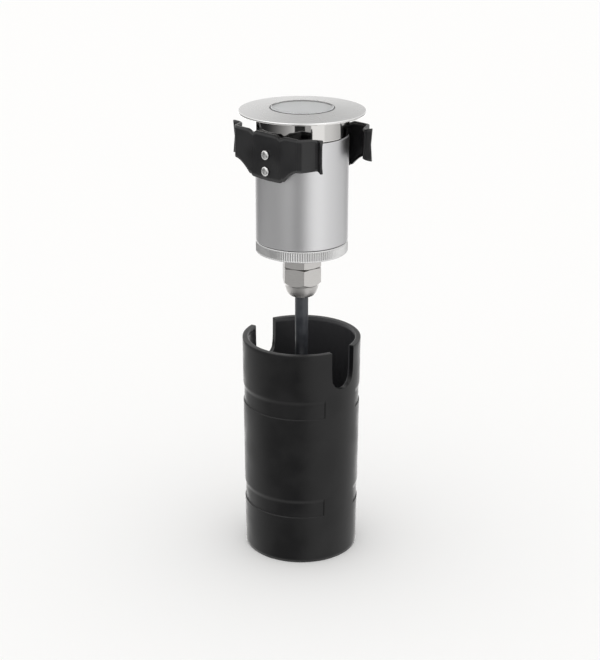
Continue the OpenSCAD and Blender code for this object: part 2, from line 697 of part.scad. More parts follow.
// Half a clip as a solid: side is 1 for the right half and -1 for the left
module half_clip(side) {
  mirror([side > 0 ? 0 : 1, 0, 0]) intersection() {
    translate([0, -strip_r, 0]) rotate([90, 0, 0])
      translate([0, 0, -lip_s]) linear_extrude(2 * lip_s) polygon(half_outline());
    children();
  }
}
module clip_slab(from, to) {
  translate([from, -strip_r - clip_t / 2, plate_foot - clip_t])
    cube([to - from, clip_t, plate_h + 2 * clip_t]);
}
module clip_plate(turn) {
  color(black) at_clip(turn) difference() {
    for (side = [-1, 1]) half_clip(side) clip_slab(0, flex_s - flex_gap / 2);
    for (place = [0, 1]) translate([0, -strip_r, screw_low + place * screw_pitch])
      rotate([90, 0, 0]) translate([0, 0, -clip_t])
        cylinder(r = screw_hole_r + fit / 2, h = 2 * clip_t, $fn = 32);
  }
}
module clip_wing(turn, side) {
  color(black) at_clip(turn) half_clip(side) clip_slab(flex_s + flex_gap / 2, wing_end);
}
module clip_tip(turn, side) {
  color(black) at_clip(turn) half_clip(side)
    translate([0, -strip_r, plate_foot]) linear_extrude(plate_h + wing_top)
      polygon(strip_outline(tip_line, clip_t / 2));
}
// A domed screw with a cross recess, its thread through the plate and the tube's wall
module clip_screw() {
  thread_l = clip_t + clip_seat + blind_hole_l;
  recess_w = screw_head_d / 5;
  recess_l = screw_head_d / 2;
  rim_share = 0.25;
  head_steps = 6;
  difference() {
    union() {
      translate([0, 0, -thread_l]) cylinder(r = screw_hole_r, h = thread_l + edge, $fn = 32);
      rotate_extrude($fn = 48) polygon(concat([[0, 0], [screw_head_d / 2, 0]],
        [for (i = [0:head_steps]) let (a = 90 * i / head_steps)
          [screw_head_d / 2 * cos(a), screw_head_h * (rim_share + (1 - rim_share) * sin(a))]]));
    }
    for (turn = [0, 90]) rotate([0, 0, turn])
      translate([-recess_l / 2, -recess_w / 2, screw_head_h / 3])
        cube([recess_l, recess_w, screw_head_h]);
  }
}
module clip_screws(turn) {
  color(steel) at_clip(turn) for (place = [0, 1])
    translate([0, -strip_r - clip_t / 2, screw_low + place * screw_pitch])
      rotate([90, 0, 0]) rotate([0, 0, 20]) clip_screw();
}
rear_turn = clip_turn + 180;
module front_clip_plate() { clip_plate(clip_turn); }
module front_clip_screws() { clip_screws(clip_turn); }
module front_left_wing() { clip_wing(clip_turn, -1); }
module front_left_tip() { clip_tip(clip_turn, -1); }
module front_right_wing() { clip_wing(clip_turn, 1); }
module front_right_tip() { clip_tip(clip_turn, 1); }
module rear_clip_plate() { clip_plate(rear_turn); }
module rear_clip_screws() { clip_screws(rear_turn); }
module rear_left_wing() { clip_wing(rear_turn, -1); }
module rear_left_tip() { clip_tip(rear_turn, -1); }
module rear_right_wing() { clip_wing(rear_turn, 1); }
module rear_right_tip() { clip_tip(rear_turn, 1); }

// Cable from the gland down into the sleeve, and its stripped end
mouth_z = head_z + nut_foot + entry_depth;
lay_reach = (min(foot_bore_r, rim_bore_r) - cable_d / 2) / (lay_bore_r - lay_sheath_r);
lay_scale = [lay_reach, lay_reach, mouth_z / lay_top];
cable_route = smooth([for (p = lay) [for (k = [0:2]) p[k] * lay_scale[k]]], lay_steps);
route_end = len(cable_route) - 1;
cable_tip = cable_route[route_end];
tip_ahead = unit(cable_tip - cable_route[route_end - 1]);
core_inward = 0.5;
wall_ahead = unit([-cable_tip.y - core_inward * cable_tip.x,
  cable_tip.x - core_inward * cable_tip.y, -cable_tip.z]);
core_bend_l = 4;
core_free_l = 5;
// Middle line of the three cores, which turn away from the wall and spread a little
core_line = [cable_tip, cable_tip + core_bend_l * tip_ahead,
  cable_tip + core_bend_l * tip_ahead + core_free_l * wall_ahead];
core_frames = frames(core_line, 0, start_side);
core_spread_shares = [1, 1, 1.3];
function core_at(k, i) =
  ring(core_line[i], core_frames[i], core_ring_r * core_spread_shares[i], 3)[k];
function core_out(k) = unit(core_at(k, 2) - core_at(k, 1));
module cable() { color("#3a3d42") tube(cable_route, cable_d, cable_sides); }
module cable_cores() {
  shades = ["#7a4a2c", "#2f5fa8", "#9db33c"];
  for (k = [0:2]) color(shades[k])
    tube([for (i = [0:2]) core_at(k, i)], core_d, core_sides);
}
module core_ferrules() {
  color(steel) for (k = [0:2])
    tube([core_at(k, 2), core_at(k, 2) + ferrule_l * core_out(k)], ferrule_d, core_sides);
}

sleeve();
flange_and_collar();
lens_glass();
lens_seal();
collar_o_ring();
body_tube();
reflector();
light_chip();
light_board();
board_screws();
heat_sink();
lamp_leads();
driver_case();
driver_board();
driver_parts();
terminal_block();
supply_leads();
earth_lug();
earth_screw();
end_cap();
cap_o_ring();
gland_body();
gland_o_ring();
gland_seal();
gland_nut();
cable_entry();
front_clip_plate();
front_clip_screws();
front_left_wing();
front_left_tip();
front_right_wing();
front_right_tip();
rear_clip_plate();
rear_clip_screws();
rear_left_wing();
rear_left_tip();
rear_right_wing();
rear_right_tip();
cable();
cable_cores();
core_ferrules();
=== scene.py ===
"""In ground well light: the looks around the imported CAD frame.

Lengths are in millimetres until a mesh is made, and heights of the light head are counted from the
underside of its flange. A turn is an angle in degrees round the axis, from the camera's side towards
its right. On a clip, s runs along the strip from its middle, and inward from it to the axis."""
import math

import bpy
import numpy as np
from mathutils import Matrix
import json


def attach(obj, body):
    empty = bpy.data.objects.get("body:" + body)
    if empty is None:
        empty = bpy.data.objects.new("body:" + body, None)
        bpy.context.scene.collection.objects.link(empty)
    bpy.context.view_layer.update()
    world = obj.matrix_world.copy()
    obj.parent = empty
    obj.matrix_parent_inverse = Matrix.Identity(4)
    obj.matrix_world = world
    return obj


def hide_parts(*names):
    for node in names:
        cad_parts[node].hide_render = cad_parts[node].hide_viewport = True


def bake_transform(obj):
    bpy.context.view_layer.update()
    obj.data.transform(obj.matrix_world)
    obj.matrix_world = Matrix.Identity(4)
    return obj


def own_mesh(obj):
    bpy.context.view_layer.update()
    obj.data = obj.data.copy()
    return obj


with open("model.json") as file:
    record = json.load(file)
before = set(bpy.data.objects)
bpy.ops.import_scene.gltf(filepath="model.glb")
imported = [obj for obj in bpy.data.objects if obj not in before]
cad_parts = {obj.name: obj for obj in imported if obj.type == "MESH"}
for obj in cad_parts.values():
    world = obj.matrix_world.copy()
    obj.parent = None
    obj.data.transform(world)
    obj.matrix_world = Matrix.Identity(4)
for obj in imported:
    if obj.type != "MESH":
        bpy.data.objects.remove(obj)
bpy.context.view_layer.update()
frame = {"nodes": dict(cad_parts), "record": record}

MM = 0.001
HEAD_Z = 260.3


# Camera: its aim and reach are in metres, its pitch and roll in degrees
CAMERA_AIM_X, CAMERA_AIM_Z, CAMERA_REACH = -0.0009, 0.13293, 0.89097
CAMERA_PITCH, CAMERA_ROLL = 20.694, 0.15
FOCAL_PX, PICTURE_PX, SENSOR_MM = 1551.4, 660.0, 36.0


def make_camera():
    """The camera looks down at a point close to the axis. The length of its lens is the sensor's width times
    the focal length in pixels over the picture's height."""
    pitch, roll = math.radians(CAMERA_PITCH), math.radians(CAMERA_ROLL)
    data = bpy.data.cameras.new("camera")
    data.sensor_width, data.lens = SENSOR_MM, SENSOR_MM * FOCAL_PX / PICTURE_PX
    data.clip_start, data.clip_end = 0.05, 50.0
    camera = bpy.data.objects.new("camera", data)
    bpy.context.scene.collection.objects.link(camera)
    turn = Matrix.Rotation(math.pi / 2 - pitch, 4, "X") @ Matrix.Rotation(roll, 4, "Z")
    place = (CAMERA_AIM_X, -CAMERA_REACH * math.cos(pitch), CAMERA_AIM_Z + CAMERA_REACH * math.sin(pitch))
    camera.matrix_world = Matrix.Translation(place) @ turn
    bpy.context.scene.camera = camera


# Meshes
def unit(v):
    """A vector over its own length."""
    return v / np.linalg.norm(v)


def mesh_object(name, points, quads):
    """A smooth mesh object from points in millimetres and quads, facing outwards: where the signed
    volume, a sixth of the sum of a . (b x c) over the triangles, is negative, the quads are turned."""
    a, b, c, d = (points[quads[:, k]] for k in range(4))
    volume = np.einsum("ij,ij->", a, np.cross(b, c)) + np.einsum("ij,ij->", a, np.cross(c, d))
    if volume < 0:
        quads = quads[:, ::-1]
    mesh = bpy.data.meshes.new(name)
    mesh.vertices.add(len(points))
    mesh.vertices.foreach_set("co", (points * MM).astype(np.float32).ravel())
    mesh.loops.add(quads.size)
    mesh.loops.foreach_set("vertex_index", quads.astype(np.int32).ravel())
    mesh.polygons.add(len(quads))
    mesh.polygons.foreach_set("loop_start", np.arange(0, quads.size, 4, dtype=np.int32))
    mesh.polygons.foreach_set("use_smooth", np.ones(len(quads), bool))
    mesh.update(calc_edges=True)
    mesh.validate()
    piece = bpy.data.objects.new(name, mesh)
    bpy.context.scene.collection.objects.link(piece)
    return piece


def grid_quads(rows, columns, wrap_rows, wrap_columns):
    """Quads between the neighbours of a grid of rows x columns points, joined round where it wraps."""
    i = np.arange(rows if wrap_rows else rows - 1)
    j = np.arange(columns if wrap_columns else columns - 1)
    i, j = (x.ravel() for x in np.meshgrid(i, j, indexing="ij"))
    n, m = (i + 1) % rows, (j + 1) % columns
    return np.stack([i * columns + j, n * columns + j, n * columns + m, i * columns + m], 1)


def grid_object(name, points, wrap_rows=False, wrap_columns=False):
    """A mesh object from points on a grid, as [row, column]."""
    rows, columns = points.shape[:2]
    return mesh_object(name, points.reshape(-1, 3), grid_quads(rows, columns, wrap_rows, wrap_columns))


def swing(start, end, middle, radius, count):
    """Points on the arc from start to end round the middle. At a share t of the whole turn w, the two
    radii have the weights sin((1-t) w) and sin(t w), over sin(w)."""
    a, b = start - middle, end - middle
    whole = math.acos(max(-1, min(1, float(a @ b) / radius ** 2)))
    t = np.linspace(0, 1, count)[:, None]
    return middle + (a * np.sin((1 - t) * whole) + b * np.sin(t * whole)) / math.sin(whole)


def rounded(corners, steps=5, hold=0.12):
    """A closed outline from (r, z, fillet) corners. Each corner becomes an arc that touches both
    sides, and each straight side gets a point close to either end, so that it stays flat in shading."""
    out = []
    flat = [np.array(c[:2], float) for c in corners]
    for i, corner in enumerate(corners):
        here = flat[i]
        u, w = flat[i - 1] - here, flat[(i + 1) % len(flat)] - here
        before_l, after_l = np.linalg.norm(u), np.linalg.norm(w)
        u, w = u / before_l, w / after_l
        half = math.acos(max(-1, min(1, float(u @ w)))) / 2
        radius = min(corner[2], 0.45 * min(before_l, after_l) * math.tan(half))
        reach = radius / math.tan(half)
        start, end = here + u * reach, here + w * reach
        if before_l > 6 * hold + 2 * reach:
            out.append(start + u * hold)
        if radius > 0:
            out.extend(swing(start, end, here + unit(u + w) * radius / math.sin(half), radius, steps + 1))
        else:
            out.append(here)
        if after_l > 6 * hold + 2 * reach:
            out.append(end + w * hold)
    return np.array(out)


def lathe(name, outline, columns, radius=None):
    """Turns a closed outline of (r, z) round the head's axis. radius may change r by the angle."""
    angle = np.linspace(0, 2 * math.pi, columns, endpoint=False)
    r, z = (np.repeat(outline[:, k:k + 1], columns, 1) for k in range(2))
    if radius is not None:
        r = radius(r, angle[None, :], z)
    points = np.stack([r * np.cos(angle), r * np.sin(angle), z + HEAD_Z], 2)
    return grid_object(name, points, wrap_rows=True, wrap_columns=True)


def smooth_line(points, steps):
    """The smooth line of the cable: on each span, the weights of four neighbouring points are
    (1-t)^3, 3t^3-6t^2+4, 1+3t+3t^2-3t^3 and t^3, over six, with mirrored points past both ends."""
    p = np.array(points, float)
    q = np.vstack([2 * p[0] - p[1], p, 2 * p[-1] - p[-2]])
    t = (np.arange(steps) / steps)[:, None]
    spans = [((1 - t) ** 3 * q[i - 1] + (3 * t ** 3 - 6 * t ** 2 + 4) * q[i]
              + (1 + 3 * t + 3 * t ** 2 - 3 * t ** 3) * q[i + 1] + t ** 3 * q[i + 2]) / 6
             for i in range(1, len(p))]
    return np.vstack(spans + [p[-1:]])


def tube(name, line, radius, sides, end_round):
    """Sweeps a circle along a line with rounded rims and flat ends. The side direction is carried
    from point to point, less its part along the line, so that the tube doesn't twist."""
    ahead = np.gradient(line, axis=0)
    ahead /= np.linalg.norm(ahead, axis=1)[:, None]
    side = np.cross(ahead[0], [0.3, 1.0, 0.2])
    rings, angle = [], np.linspace(0, 2 * math.pi, sides, endpoint=False)
    last, bevel, pole = len(line) - 1, 0.3 * end_round, 0.001
    stations = [(0, 0.0, pole), (0, 0.0, radius - end_round), (0, bevel, radius - bevel)]
    stations += [(i, 0.0, radius) for i in range(1, last)]
    stations += [(last, -bevel, radius - bevel), (last, 0.0, radius - end_round), (last, 0.0, pole)]
    for i, along, r in stations:
        side = unit(side - ahead[i] * (side @ ahead[i]))
        up = np.cross(ahead[i], side)
        circle = np.cos(angle)[:, None] * side + np.sin(angle)[:, None] * up
        rings.append(line[i] + ahead[i] * along + r * circle)
    return grid_object(name, np.array(rings), wrap_columns=True)


# Cable
LAY = [(0, 0, 156), (0, 0, 144), (0, 1.5, 132), (0, 6, 120.5), (0, 12.5, 109.5), (0, 19, 98.5),
       (-1, 23, 87), (-4, 24.5, 75), (-9.5, 23, 64.5), (-16.5, 18.5, 55), (-22, 10.5, 47),
       (-24.5, 0, 40), (-22, -11, 33.5), (-14, -20, 27), (-2.5, -24.5, 20.5), (9.5, -23, 14),
       (19.5, -16.5, 7.5)]
CABLE_D, CORE_D, FERRULE_D = 7.6, 2.2, 1.6
CORE_RING_R, CORE_SPREAD = 0.62 * CORE_D, (1, 1.05, 1.3)
CORE_BEND_L, CORE_FREE_L, CORE_INWARD = 4.0, 5.0, 0.5


def core_places(line):
    """Where the three cores start, turn and end, as [point, core]: on circles round the middle line of
    the bundle, each circle square to the line there and a little wider than the one before."""
    tip, ahead = line[-1], unit(line[-1] - line[-2])
    wall = unit(np.array([-tip[1] - CORE_INWARD * tip[0], tip[0] - CORE_INWARD * tip[1], -tip[2]]))
    turn = tip + CORE_BEND_L * ahead
    bundle = [tip, turn, turn + CORE_FREE_L * wall]
    ways = [ahead, unit(bundle[2] - bundle[0]), wall]
    side, places = np.array([1, 0.01, 0.02]), []
    angle = np.radians([0, 120, 240])[:, None]
    for middle, way, spread in zip(bundle, ways, CORE_SPREAD):
        side = unit(side - way * (side @ way))
        around = np.cos(angle) * side + np.sin(angle) * np.cross(way, side)
        places.append(middle + CORE_RING_R * spread * around)
    return np.array(places), ahead


def make_cable():
    """The cable, its three cores, which leave the sheath a turn of 120 degrees apart and bend along
    the sleeve's wall, and the ferrules on their ends. The cable's top is 156 mm up, and it stays with
    the sleeve when the head comes down by the lift's 130.3 mm."""
    line = smooth_line(LAY, 10)
    cable = tube("cable_sheath", line, CABLE_D / 2, 32, 0.5)
    places, ahead = core_places(smooth_line(LAY, 4))
    cores, ferrules = [], []
    for k in range(3):
        start, turn, end = places[:, k]
        out = unit(end - turn)
        core = smooth_line([start - 1.2 * ahead, start + 1.0 * ahead, turn, turn + 2.0 * out, end], 5)
        cores.append(tube("cable_core_%d" % (k + 1), core, CORE_D / 2, 16, 0.15))
        barrel = np.array([end - 0.4 * out, end, end + 2.5 * out, end + 5.0 * out])
        ferrules.append(tube("core_ferrule_%d" % (k + 1), barrel, FERRULE_D / 2, 16, 0.1))
    pieces = [(cable, "cable_rubber", "cable")]
    pieces += [(core, "lead_brown", "cable_cores") for core in cores]
    pieces += [(ferrule, "screw_steel", "core_ferrules") for ferrule in ferrules]
    for piece, name, node in pieces:
        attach(piece, "sleeve")
        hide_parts(node)
        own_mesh(piece)
    return cable, cores, ferrules


make_camera()
cable, cores, ferrules = make_cable()


# Shader wrapper
class Value:
    """What comes out of a socket. On a number, operators and methods add math nodes."""

    def __init__(self, paint, out):
        self.paint, self.out = paint, out

    def math(self, kind, *others):
        return self.paint.value("ShaderNodeMath", {"operation": kind}, enumerate((self,) + others))

    def __add__(self, x): return self.math("ADD", x)
    def __sub__(self, x): return self.math("SUBTRACT", x)
    def __mul__(self, x): return self.math("MULTIPLY", x)
    def __neg__(self): return self * -1.0
    def __rsub__(self, x): return (self * -1.0) + x
    __radd__, __rmul__ = __add__, __mul__

    def ramp(self, low, high, start=0.0, end=1.0):
        """From start to end, with a smooth step between low and high."""
        return self.paint.value("ShaderNodeMapRange", {"interpolation_type": "SMOOTHSTEP"},
                                enumerate((self, low, high, start, end)))

    def steps(self, total, *steps):
        """A start, and a smooth step for each (low, high, height), added up."""
        for low, high, height in steps:
            total = self.ramp(low, high, 0.0, height) + total
        return total


class Paint:
    """A node tree, of a material or of the world, and what a finish is made from."""

    def __init__(self, tree):
        self.tree, self.place = tree, None
        tree.nodes.clear()

    def add(self, kind, settings=(), sockets=()):
        """A node of a kind: first its settings, and then the value or the link of each socket."""
        node = self.tree.nodes.new(kind)
        for name, x in dict(settings).items():
            setattr(node, name, x)
        for name, x in dict(sockets).items():
            if isinstance(x, Value):
                self.tree.links.new(x.out, node.inputs[name])
            else:
                node.inputs[name].default_value = x
        return node

    def value(self, kind, settings=(), sockets=(), output=0):
        """What comes out of such a node."""
        return Value(self, self.add(kind, settings, sockets).outputs[output])

    def axes(self, output="Object"):
        """x, y and z of the texture coordinate, in metres."""
        if self.place is None:
            self.place = self.value("ShaderNodeTexCoord", output=output)
        split = self.add("ShaderNodeSeparateXYZ", sockets={0: self.place})
        return [Value(self, out) for out in split.outputs]

    def axes_and_radius(self):
        """z, and the distance from the axis: the square root of x squared plus y squared."""
        x, y, z = self.axes()
        return z, (x * x + y * y).math("POWER", 0.5)

    def noise(self, scale, stretch=(1, 1, 1), detail=3.0, rough=0.5):
        """Noise from 0 to 1, with that many waves to a metre, stretched along the axes."""
        if self.place is None:
            self.axes()
        place = self.value("ShaderNodeMapping", sockets={"Vector": self.place, "Scale": stretch})
        return self.value("ShaderNodeTexNoise", sockets={
            "Vector": place, "Scale": scale, "Detail": detail, "Roughness": rough})

    def mix(self, share, low, high):
        """A colour between low and high."""
        low, high = (x if isinstance(x, Value) else (*x, 1.0) for x in (low, high))
        return self.value("ShaderNodeMix", {"data_type": "RGBA"}, {0: share, 6: low, 7: high}, 2)


def grey(level):
    """A colour without a hue."""
    return (level,) * 3


def blank(name):
    """A new material and its empty node tree."""
    made = bpy.data.materials.new(name)
    made.use_nodes = True
    return made, Paint(made.node_tree)


def material(name, finish, metal=0.0, height=0.02, more=()):
    """A material whose finish(paint) returns what varies over it: its colour, often its roughness,
    and a relief, which is height millimetres deep."""
    made, paint = blank(name)
    given = {"Roughness": 0.4, "Metallic": metal, **finish(paint), **dict(more)}
    given["Normal"] = paint.value("ShaderNodeBump", sockets={
        "Strength": 1.0, "Distance": height * MM, "Height": given.pop("relief")})
    shader = paint.value("ShaderNodeBsdfPrincipled", sockets=given)
    paint.add("ShaderNodeOutputMaterial", sockets={0: shader})
    return made


def plastic(low, high, grain=1500.0, rough=0.42):
    """Moulded plastic: a fine even grain, with broad patches a little lighter and shinier."""
    def finish(p):
        patch = p.noise(60.0, detail=2.0)
        return {"Base Color": p.mix(patch.ramp(0.35, 0.65), low, high),
                "Roughness": patch.ramp(0.3, 0.7, rough - 0.05, rough + 0.05),
                "relief": p.noise(grain, detail=4.0, rough=0.6)}
    return finish


def brushed(low, high, rough, lines=(1, 1, 60), waves=900.0, spread=0.08):
    """Brushed metal: noise drawn out along the strokes gives the lines and a slight change of shine."""
    def finish(p):
        line = p.noise(waves, lines, 4.0, 0.6)
        return {"Base Color": p.mix(line.ramp(0.3, 0.7), low, high),
                "Roughness": line.ramp(0.3, 0.7, rough - spread, rough + spread), "relief": line}
    return finish


def flange_finish(p):
    """A satin top with fine rings round the axis, and a mirror on the collar and under the flange.
    The top is where z passes the flange's edge."""
    z, radius = p.axes_and_radius()
    top = z.ramp((HEAD_Z + 0.35) * MM, (HEAD_Z + 0.8) * MM)
    waves = (radius * 52000.0).math("SINE") * 0.5 + 0.5
    patch = p.noise(45.0, detail=2.0)
    return {"Base Color": p.mix(top, (0.62, 0.61, 0.6), grey(0.58)),
            "Roughness": top * (0.24 + patch * 0.06) + (1.0 - top) * (0.045 + patch * 0.02),
            "relief": waves * top}


def sleeve_plastic_and_painted_light(p):
    """Black moulded plastic, with light painted on inside the sleeve, which is where the radius says: there
    the colour is raised to a lighter grey that stands in for light falling on the inner wall.
    """
    made = plastic((0.005, 0.005, 0.0055), (0.008, 0.008, 0.0085), rough=0.36)(p)
    radius = p.axes_and_radius()[1]
    # painted light: the inner wall gets a lighter grey colour in place of the light that falls on it
    inside = 1.0 - radius.ramp(31.2 * MM, 31.6 * MM)
    made["Base Color"] = p.mix(inside, made["Base Color"], (0.04, 0.04, 0.043))
    return made


def sheath_finish(p):
    """A rubber sheath: a fine grain, and patches a little lighter and shinier."""
    patch = p.noise(220.0, detail=3.0)
    return {"Base Color": p.mix(patch.ramp(0.35, 0.65), (0.035, 0.038, 0.045), (0.05, 0.054, 0.062)),
            "Roughness": patch.ramp(0.3, 0.7, 0.36, 0.5), "relief": p.noise(2500.0, detail=3.0)}


CORE_SHADES = [((0.16, 0.06, 0.025), (0.2, 0.08, 0.03)), ((0.03, 0.09, 0.35), (0.04, 0.12, 0.42)),
               ((0.12, 0.3, 0.03), (0.75, 0.62, 0.03))]


def core_finish(number):
    """Insulation in one colour; the third core is green with yellow stripes, by the sine of z."""
    def finish(p):
        if number == 2:
            share = (p.axes()[2] * 1500.0).math("SINE").ramp(-0.1, 0.1)
        else:
            share = p.noise(300.0)
        return {"Base Color": p.mix(share, *CORE_SHADES[number]), "relief": p.noise(3000.0)}
    return finish


def board_finish(p):
    """A circuit board: lacquer with darker tracks, where a coarse noise is close to its middle."""
    track = (p.noise(140.0, detail=0.0) - 0.5).math("ABSOLUTE").ramp(0.02, 0.05)
    return {"Base Color": p.mix(track, (0.03, 0.13, 0.05), (0.06, 0.25, 0.1)), "relief": track}


def phosphor_finish(p):
    """The light source's grainy yellow coating."""
    grain = p.noise(2500.0, detail=2.0)
    return {"Base Color": p.mix(grain, (0.82, 0.7, 0.25), (0.9, 0.8, 0.36)), "relief": grain}


def lens_material():
    """Thick clear glass, ground white underneath, and with painted shade round its edge: the side wall is
    coloured near black in place of the shade that falls there. Which part is which is where z or the radius
    says. A mix of the glass and of the ground finish, by a mask on the object's own axes."""
    made, p = blank("glass")
    z, radius = p.axes_and_radius()
    # painted shade: the mask picks the glass's side wall, which is coloured near black where shade falls
    # round the lens
    wall = radius.ramp(17.15 * MM, 17.22 * MM) * (1.0 - z.ramp((HEAD_Z + 2.42) * MM, (HEAD_Z + 2.48) * MM))
    foot = 1.0 - z.ramp((HEAD_Z - 2.0) * MM, (HEAD_Z - 1.9) * MM)
    clear = p.value("ShaderNodeBsdfPrincipled", sockets={
        "Base Color": (0.97, 0.975, 0.98, 1.0), "Transmission Weight": 1.0, "IOR": 1.5,
        "Roughness": p.noise(40.0, detail=2.0).ramp(0.3, 0.7, 0.01, 0.03)})
    ground = p.value("ShaderNodeBsdfPrincipled", sockets={
        # the near-black colour of the side wall is painted shade; the light grey is the ground underside
        "Base Color": p.mix(wall, (0.57, 0.58, 0.59), (0.02, 0.02, 0.022)), "Roughness": 0.7})
    both = p.value("ShaderNodeMixShader", sockets={0: wall.math("MAXIMUM", foot), 1: clear, 2: ground})
    p.add("ShaderNodeOutputMaterial", sockets={0: both})
    return made


# Each slot's finish, metallic, relief in millimetres, and what else its sockets are given
FINISHES = {
    "black_plastic": (sleeve_plastic_and_painted_light, 0.0, 0.008, {"IOR": 1.33}),
    "polished_steel": (flange_finish, 1.0, 0.0003),
    "brushed_steel": (brushed((0.53, 0.53, 0.54), (0.58, 0.58, 0.59), 0.4), 1.0, 0.003),
    "knurled_steel": (brushed(grey(0.56), grey(0.62), 0.35), 1.0, 0.002),
    "coated_spring": (plastic((0.008, 0.008, 0.009), (0.012, 0.012, 0.013), 700.0, 0.34),
                      0.0, 0.02, {"IOR": 1.4}),
    "screw_steel": (brushed(grey(0.5), grey(0.58), 0.2), 1.0, 0.002),
    "nickel_brass": (brushed((0.5, 0.49, 0.48), (0.56, 0.55, 0.54), 0.42, (1, 1, 8), 500.0, 0.04),
                     1.0, 0.0006),
    "cable_rubber": (sheath_finish, 0.0, 0.01),
    "black_rubber": (plastic(grey(0.012), grey(0.02), 1800.0, 0.5), 0.0, 0.01),
    "aluminium": (brushed((0.62, 0.63, 0.64), (0.7, 0.71, 0.72), 0.32), 1.0, 0.004),
    "reflector_metal": (brushed(grey(0.85), grey(0.92), 0.2, (1, 1, 12)), 1.0, 0.002),
    "phosphor": (phosphor_finish, 0.0, 0.01),
    "white_board": (plastic(grey(0.78), grey(0.84)), 0.0, 0.01),
    "green_board": (board_finish, 0.0, 0.03),
    "dark_plastic": (plastic(grey(0.03), grey(0.05)),),
    "white_plastic": (plastic((0.68, 0.68, 0.66), (0.75, 0.75, 0.73)),),
    "lead_red": (plastic((0.4, 0.03, 0.02), (0.5, 0.05, 0.03)),),
    "lead_brown": (core_finish(0),),
}
MATERIALS = {slot: material(slot, *row) for slot, row in FINISHES.items()}
MATERIALS["glass"] = lens_material()
CORE_PAINT = [material("core_%d" % (k + 1), core_finish(k)) for k in range(3)]


def dress(piece, paint):
    """Gives a piece its material."""
    piece.data.materials.clear()
    piece.data.materials.append(paint)


def stand_in(piece, body, node, slot):
    """The piece is shown in place of a CAD node, moves with its body and takes its finish."""
    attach(piece, body)
    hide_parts(node)
    dress(piece, MATERIALS[slot])


dress(cable, MATERIALS["cable_rubber"])
for piece, paint in zip(cores, CORE_PAINT):
    dress(piece, paint)
for piece in ferrules:
    dress(piece, MATERIALS["screw_steel"])


# Light head
FLANGE_R, RIM_T, FLANGE_T, HEAD_R = 35.0, 1.2, 2.4, 25.85
COLLAR_FOOT, SPIGOT_FOOT, SPIGOT_R, BORE_R = -11.6, -20.5, 23.25, 20.65
SEAT_R, LEDGE_R, LEDGE_TOP = 18.0, 15.7, -2.8
GLASS_R, GLASS_FOOT, GLASS_TOP, SEAL_R, SEAL_FOOT = 17.25, -2.15, 2.8, 17.35, -2.2
TUBE_TOP, TUBE_FOOT, TUBE_THREAD_R, TUBE_BORE_R = -12.0, -72.0, 23.35, 22.75
AXIS_R = 0.001


def make_head():
    """The turned pieces of the head, from the CAD outlines with small fillets on their edges."""
    flange = rounded([(SEAT_R, FLANGE_T, 0.15), (FLANGE_R, RIM_T, 0.45), (FLANGE_R, 0.0, 0.45),
                      (HEAD_R, 0.0, 0.2), (HEAD_R, COLLAR_FOOT, 0.3), (SPIGOT_R, COLLAR_FOOT, 0),
                      (SPIGOT_R, SPIGOT_FOOT, 0.2), (BORE_R, SPIGOT_FOOT, 0.2), (BORE_R, -9.6, 0),
                      (LEDGE_R, -4.0, 0), (LEDGE_R, LEDGE_TOP, 0), (SEAT_R, LEDGE_TOP, 0)])
    stand_in(lathe("flange", flange, 384), "luminaire", "flange_and_collar", "polished_steel")
    seal = rounded([(LEDGE_R, LEDGE_TOP, 0), (SEAT_R, LEDGE_TOP, 0), (SEAT_R, 2.35, 0.1),
                    (SEAL_R, 2.6, 0.1), (SEAL_R, SEAL_FOOT, 0), (LEDGE_R, SEAL_FOOT, 0)])
    stand_in(lathe("lens_seal_ring", seal, 192), "luminaire", "lens_seal", "black_rubber")
    glass = rounded([(AXIS_R, GLASS_FOOT, 0), (GLASS_R, GLASS_FOOT, 0.1), (GLASS_R, 2.5, 0.1),
                     (16.7, GLASS_TOP, 0.15), (AXIS_R, GLASS_TOP, 0)])
    stand_in(lathe("lens", glass, 192), "luminaire", "lens_glass", "glass")
    body = rounded([(HEAD_R, TUBE_FOOT, 0.35), (HEAD_R, TUBE_TOP, 0.55), (24.65, TUBE_TOP, 0.1),
                    (TUBE_THREAD_R, -13.3, 0.1), (TUBE_THREAD_R, -39.4, 0), (TUBE_BORE_R, -39.4, 0),
                    (TUBE_BORE_R, -70.7, 0.1), (24.05, TUBE_FOOT, 0.1)], 6)
    stand_in(lathe("head_tube", body, 384), "luminaire", "body_tube", "brushed_steel")


CAP_TOP, CAP_FOOT, CAP_R, CAP_TEETH, TOOTH_H, BEAD_FADE = -72.4, -78.8, 25.83, 120, 0.42, 0.45


def make_cap():
    """The end cap. On its edge each tooth takes its radius from a triangle wave of the turn, with the
    crest and the root rounded, and the wave fades out into a plain bead above and below."""
    edge = [(25.45, CAP_FOOT), (25.75, -78.62), (CAP_R, -78.4)]
    edge += [(CAP_R, z) for z in np.linspace(-78.15, -73.05, 22)]
    edge += [(CAP_R, -72.8), (25.7, -72.5), (25.45, CAP_TOP)]
    inner = [(22.65, CAP_TOP), (22.65, -64.6), (22.4, -64.4), (19.7, -64.4), (19.45, -64.6),
             (19.45, -73.8), (8.0, -73.8), (8.0, -77.0), (9.8, CAP_FOOT)]

    def toothed(r, angle, z):
        turn = (angle * CAP_TEETH / (2 * math.pi)) % 1.0
        wave = np.clip(1.25 * np.abs(2 * turn - 1) - 0.12, 0, 1)
        fade = np.clip((z + 78.35) / BEAD_FADE, 0, 1) * np.clip((-72.85 - z) / BEAD_FADE, 0, 1)
        return r - TOOTH_H * wave * fade * (r > 25.6)
    cap = lathe("knurled_cap", np.array(edge + inner), CAP_TEETH * 8, toothed)
    stand_in(cap, "luminaire", "end_cap", "knurled_steel")


HEX_FLAT, HEX_TURN, HEX_SOFT = 10.25, 37, 0.12
HEX_CORNER = HEX_FLAT / math.cos(math.pi / 6) - 0.05
HEX_EDGE_R, BODY_FOOT, NUT_TOP, NUT_SHOULDER, NUT_FOOT, MOUTH_R = 11.8, -87.8, -88.05, -98.6, -105.6, 5.2


